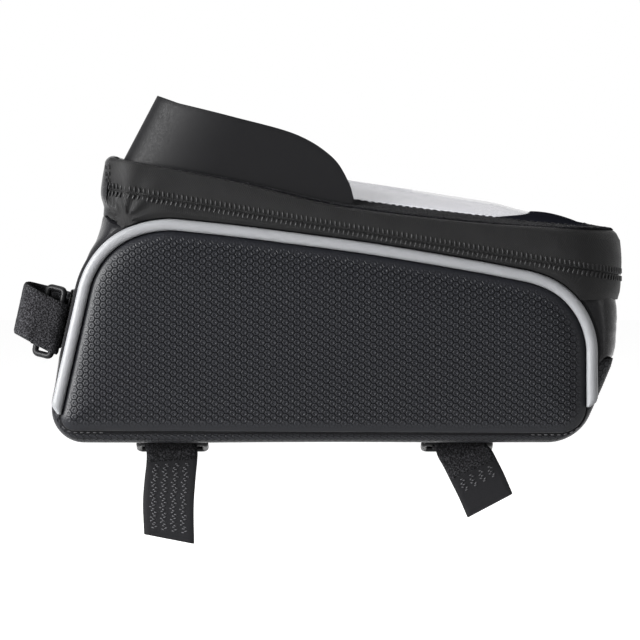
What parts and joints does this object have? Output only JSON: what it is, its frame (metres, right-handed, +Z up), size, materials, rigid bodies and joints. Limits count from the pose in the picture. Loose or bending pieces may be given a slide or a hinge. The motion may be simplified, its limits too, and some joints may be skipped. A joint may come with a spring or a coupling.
{
  "type": "bike phone bag",
  "caption": "Top-tube bicycle bag with a zipped lid, a clear phone window, a bent sun visor and hook-and-loop straps with rings.",
  "frame": {"origin": "on the flat bottom face, midway along the bag; that face sits on the bicycle's top tube", "axes": "+Z up, +X from the head tube towards the rider, -Y towards the side that the picture shows"},
  "size_m": [0.2373, 0.1043, 0.1735],
  "materials": {
    "moulded_shell": "hexagon-embossed coated shell, satin",
    "reflective_piping": "grey reflective tape, satin",
    "smooth_fabric": "smooth coated fabric, semi-gloss",
    "band_fabric": "fine diamond-embossed coated fabric",
    "zip_coil": "satin",
    "loop_fabric": "brushed loop knit",
    "clear_film": "clear flexible film",
    "lining_fabric": "felt",
    "stiffener_board": "matt",
    "visor_sheet": "fine matt sheet",
    "hook_tape": "moulded hooks",
    "slider_metal": "black lacquer",
    "strap_webbing": "brushed loop tape",
    "ring_plastic": "satin"
  },
  "bodies": {
    "bag": {"side_panel_near": "moulded_shell", "side_panel_far": "moulded_shell", "bottom_panel": "moulded_shell", "piping_near": "reflective_piping", "piping_far": "reflective_piping", "front_gusset": "smooth_fabric", "rear_gusset": "smooth_fabric", "body_band": "band_fabric", "zip_coil_lower": "zip_coil", "body_lining": "lining_fabric", "base_board": "stiffener_board", "front_strap_anchor": "smooth_fabric", "front_strap": "strap_webbing", "front_ring_tab": "strap_webbing", "front_ring": "ring_plastic", "bottom_strap_front": "strap_webbing", "bottom_strap_rear": "strap_webbing", "bottom_hook_patch_front": "hook_tape", "bottom_hook_patch_rear": "hook_tape"},
    "lid": {"lid_skirt": "band_fabric", "zip_coil_upper": "zip_coil", "hinge_panel": "smooth_fabric", "lid_top_frame": "band_fabric", "loop_strip": "loop_fabric", "window_film": "clear_film", "pocket_back": "lining_fabric", "visor": "visor_sheet", "visor_hook_near": "hook_tape", "visor_hook_far": "hook_tape"},
    "slider_front": {"zip_slider_front": "slider_metal"},
    "slider_rear": {"zip_slider_rear": "slider_metal"},
    "pull_front": {"zip_pull_front": "slider_metal"},
    "pull_rear": {"zip_pull_rear": "slider_metal"},
    "ring_front": {"bottom_ring_front": "ring_plastic"},
    "ring_rear": {"bottom_ring_rear": "ring_plastic"}
  },
  "joints": [
    {"name": "lid_hinge", "type": "hinge", "parent": "bag", "child": "lid", "pos_m": [-0.0898, 0, 0.08915], "axis": [0, -1, 0], "range_deg": [0, 100]},
    {"name": "slider_front_slide", "type": "slide", "parent": "bag", "child": "slider_front", "axis": [-0.9861, 0, 0.166], "range_m": [0, 0.072]},
    {"name": "slider_rear_slide", "type": "slide", "parent": "bag", "child": "slider_rear", "axis": [0.9861, 0, -0.166], "range_m": [0, 0.048]},
    {"name": "pull_front_hinge", "type": "hinge", "parent": "slider_front", "child": "pull_front", "pos_m": [0.014, 0.0518, 0.08103], "axis": [-0.166, 0, -0.9861], "range_deg": [0, 150]},
    {"name": "pull_rear_hinge", "type": "hinge", "parent": "slider_rear", "child": "pull_rear", "pos_m": [0.026, 0.0518, 0.07901], "axis": [0.166, 0, 0.9861], "range_deg": [0, 150]},
    {"name": "ring_front_hinge", "type": "hinge", "parent": "bag", "child": "ring_front", "pos_m": [-0.0655, 0.0175, -0.0031], "axis": [-1, 0, 0], "range_deg": [-12, 60]},
    {"name": "ring_rear_hinge", "type": "hinge", "parent": "bag", "child": "ring_rear", "pos_m": [0.0485, 0.0175, -0.0031], "axis": [-1, 0, 0], "range_deg": [-12, 60]}
  ]
}
